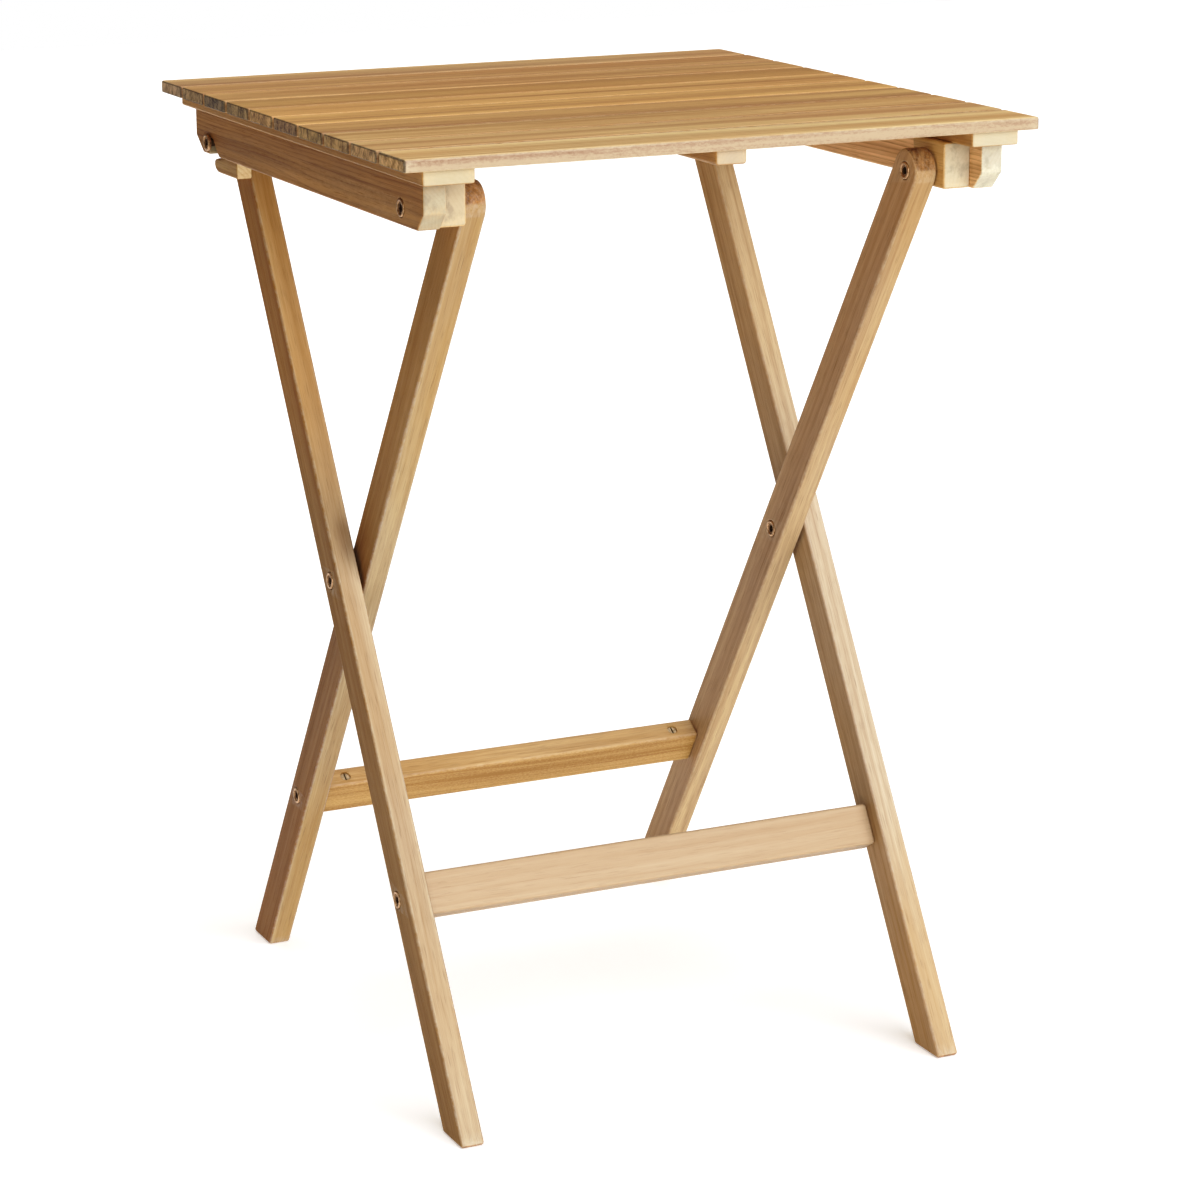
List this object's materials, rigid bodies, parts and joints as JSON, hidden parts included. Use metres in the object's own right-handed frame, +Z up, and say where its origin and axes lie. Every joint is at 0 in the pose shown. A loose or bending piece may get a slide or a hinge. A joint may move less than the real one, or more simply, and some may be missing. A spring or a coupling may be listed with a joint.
{
  "type": "folding picnic table",
  "caption": "Square slatted wooden folding table: a slatted top on two crossing leg frames that close flat, with the top swinging up in line with the legs.",
  "frame": {"origin": "middle of the footprint of the open table, on the ground", "axes": "+Z up; +X along the slats, from the left side to the right side as seen from the front stretcher; +Y from the front edge, where the top is hinged, to the back edge"},
  "size_m": [0.492, 0.5176, 0.72],
  "materials": {
    "top_wood": "oiled, satin, long straight grain",
    "batten_wood": "oiled, satin, pale end grain",
    "rail_wood": "oiled, satin",
    "leg_wood": "oiled, satin",
    "pale_wood": "oiled, satin, pale sapwood",
    "bronze": "satin bronze plating",
    "steel": "zinc plated"
  },
  "bodies": {
    "inner_frame": {"left_inner_leg": "leg_wood", "right_inner_leg": "leg_wood", "back_stretcher": "leg_wood", "left_back_stretcher_bolt": "bronze", "right_back_stretcher_bolt": "bronze", "left_back_barrel_nut": "steel", "right_back_barrel_nut": "steel", "left_front_pivot_bolt": "bronze", "right_front_pivot_bolt": "bronze", "left_front_pivot_nut": "bronze", "right_front_pivot_nut": "bronze", "left_front_pivot_washer": "steel", "right_front_pivot_washer": "steel", "left_crossing_bolt": "bronze", "right_crossing_bolt": "bronze", "left_crossing_nut": "bronze", "right_crossing_nut": "bronze", "left_crossing_washer": "steel", "right_crossing_washer": "steel"},
    "outer_frame": {"left_outer_leg": "leg_wood", "right_outer_leg": "leg_wood", "front_stretcher": "pale_wood", "left_front_stretcher_bolt": "bronze", "right_front_stretcher_bolt": "bronze", "left_front_barrel_nut": "steel", "right_front_barrel_nut": "steel", "left_rest_block": "pale_wood", "right_rest_block": "pale_wood", "left_rest_screw_front": "steel", "right_rest_screw_front": "steel", "left_rest_screw_rear": "steel", "right_rest_screw_rear": "steel", "left_rear_bolt": "bronze", "right_rear_bolt": "bronze", "left_rear_nut": "bronze", "right_rear_nut": "bronze"},
    "tabletop": {"slat_01": "top_wood", "slat_02": "top_wood", "slat_03": "top_wood", "slat_04": "top_wood", "slat_05": "top_wood", "slat_06": "top_wood", "slat_07": "top_wood", "slat_08": "top_wood", "slat_09": "top_wood", "slat_10": "top_wood", "left_batten": "batten_wood", "right_batten": "batten_wood", "middle_batten": "batten_wood", "left_side_rail": "rail_wood", "right_side_rail": "rail_wood", "left_spacer_block": "pale_wood", "right_spacer_block": "pale_wood", "left_rail_screw_front": "steel", "right_rail_screw_front": "steel", "left_rail_screw_rear": "steel", "right_rail_screw_rear": "steel"}
  },
  "joints": [
    {"name": "leg_fold", "type": "hinge", "parent": "inner_frame", "child": "outer_frame", "pos_m": [0, 0.00188, 0.3676], "axis": [1, 0, 0], "range_deg": [0, 56.5]},
    {"name": "top_fold", "type": "hinge", "parent": "inner_frame", "child": "tabletop", "pos_m": [0, -0.20082, 0.679], "axis": [1, 0, 0], "range_deg": [0, 122.89]}
  ],
  "couplings": [
    {"joint": "top_fold", "follows": "leg_fold", "ratio": 2.175}
  ]
}
